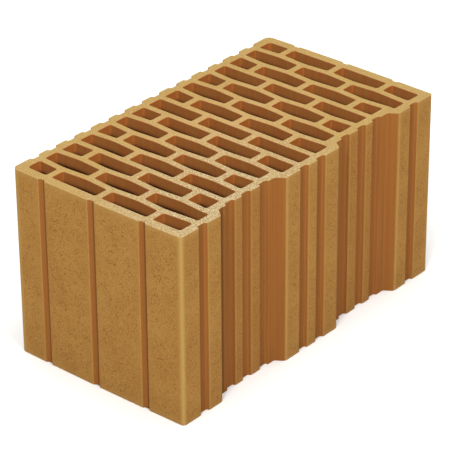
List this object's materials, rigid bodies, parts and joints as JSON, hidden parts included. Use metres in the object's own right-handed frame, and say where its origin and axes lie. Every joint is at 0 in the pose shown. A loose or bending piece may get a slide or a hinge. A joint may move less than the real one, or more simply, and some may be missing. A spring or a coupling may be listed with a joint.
{
  "type": "hollow clay block",
  "caption": "Large fired-clay masonry block with staggered vertical slots, an interlocking end face and a flat notched end face.",
  "frame": {"origin": "centre of the footprint on the lower bed face", "axes": "+Z along the slots, up as the block is laid; +Y along the longest side, through the wall's thickness; +X towards the interlocking face, along the wall"},
  "size_m": [0.25, 0.45, 0.238],
  "materials": {
    "fired_clay": "matt, fired, unglazed"
  },
  "bodies": {
    "root": {"hollow_clay_block": "fired_clay"}
  },
  "joints": []
}
